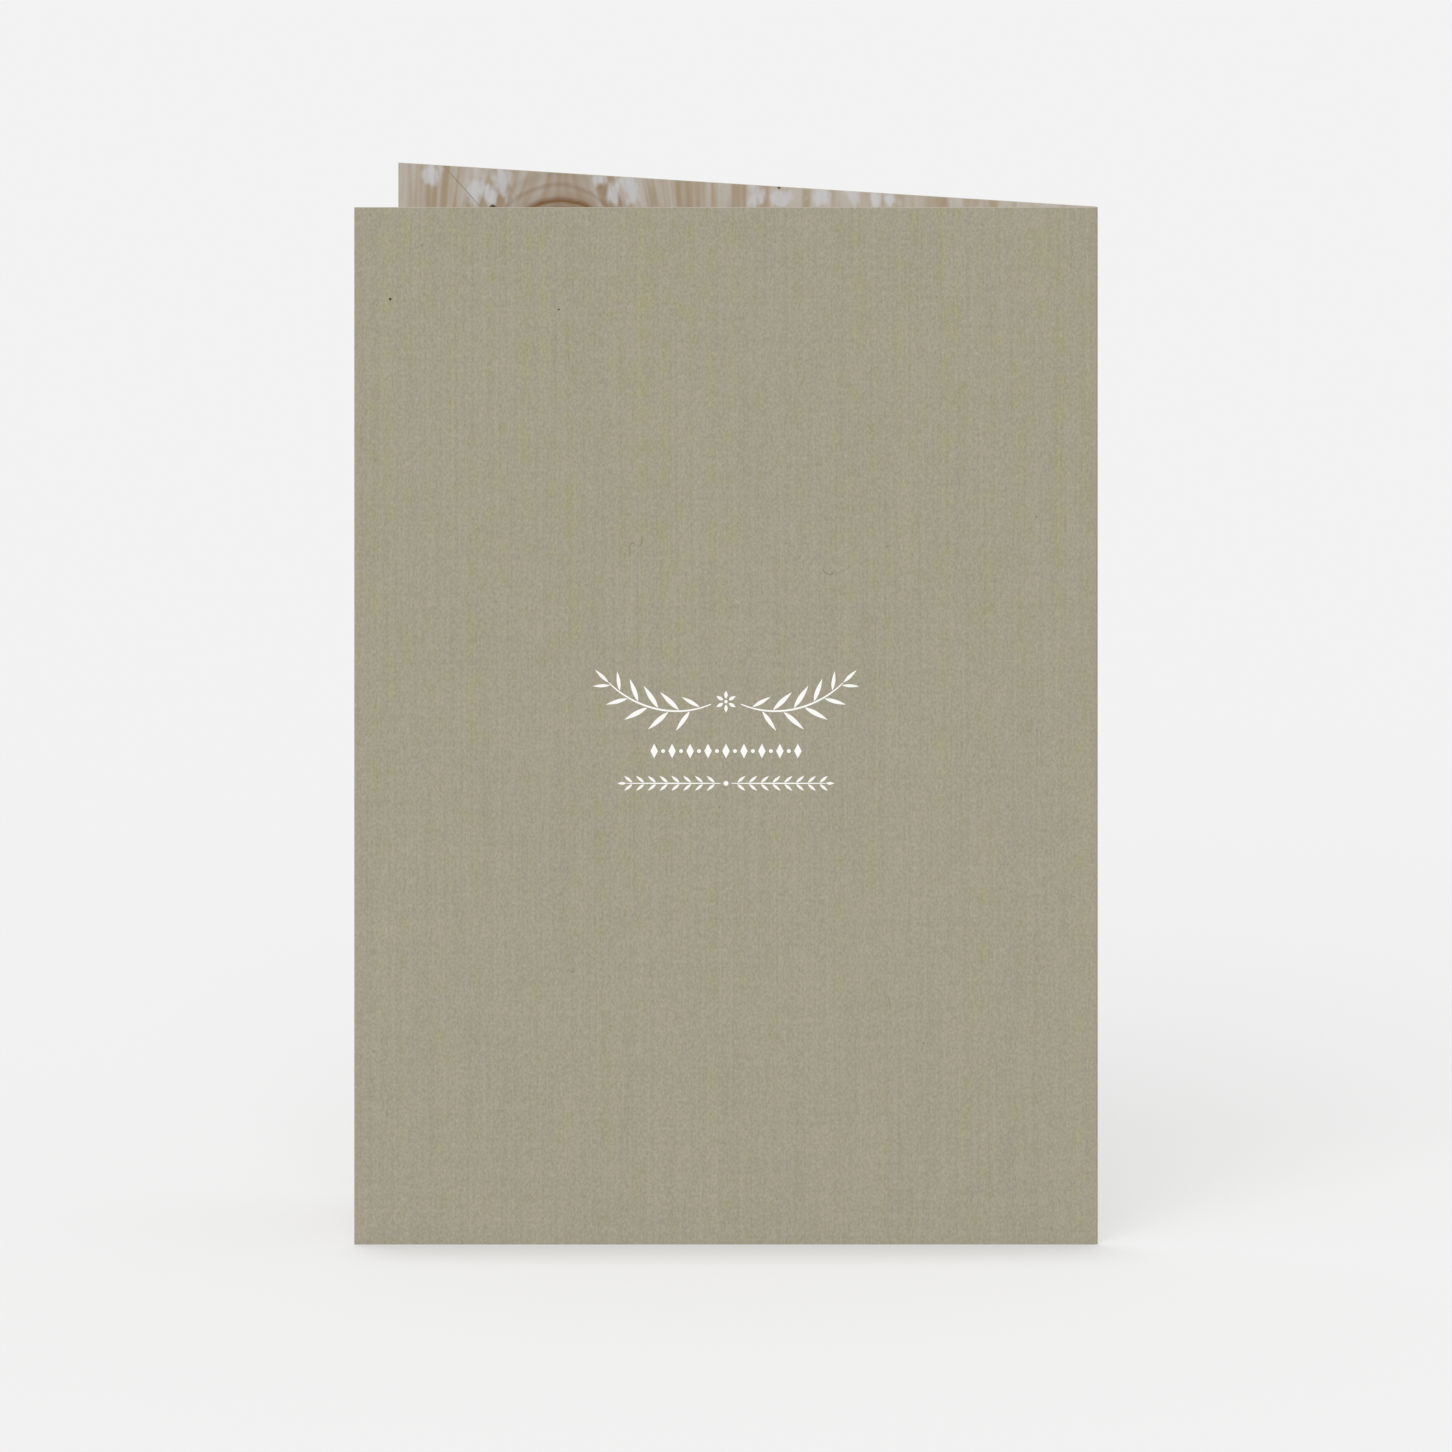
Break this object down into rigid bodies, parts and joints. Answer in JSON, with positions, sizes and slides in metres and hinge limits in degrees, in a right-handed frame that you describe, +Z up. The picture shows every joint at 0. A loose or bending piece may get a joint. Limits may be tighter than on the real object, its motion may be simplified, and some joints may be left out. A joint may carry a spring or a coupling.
{
  "type": "folded invitation card",
  "caption": "Portrait invitation card of heavy kraft-toned paper, scored and folded down one side, standing with its leaves a little open.",
  "frame": {"origin": "middle of the footprint's box, on the surface that the card stands on", "axes": "+Z up along the fold; the back leaf is parallel to XZ and faces -Y; the fold is at +X and both leaves open towards -X, the front leaf behind the back leaf"},
  "size_m": [0.12, 0.0416, 0.17],
  "materials": {
    "card_stock": "matte"
  },
  "bodies": {
    "root": {"folded_card": "card_stock"}
  },
  "joints": []
}
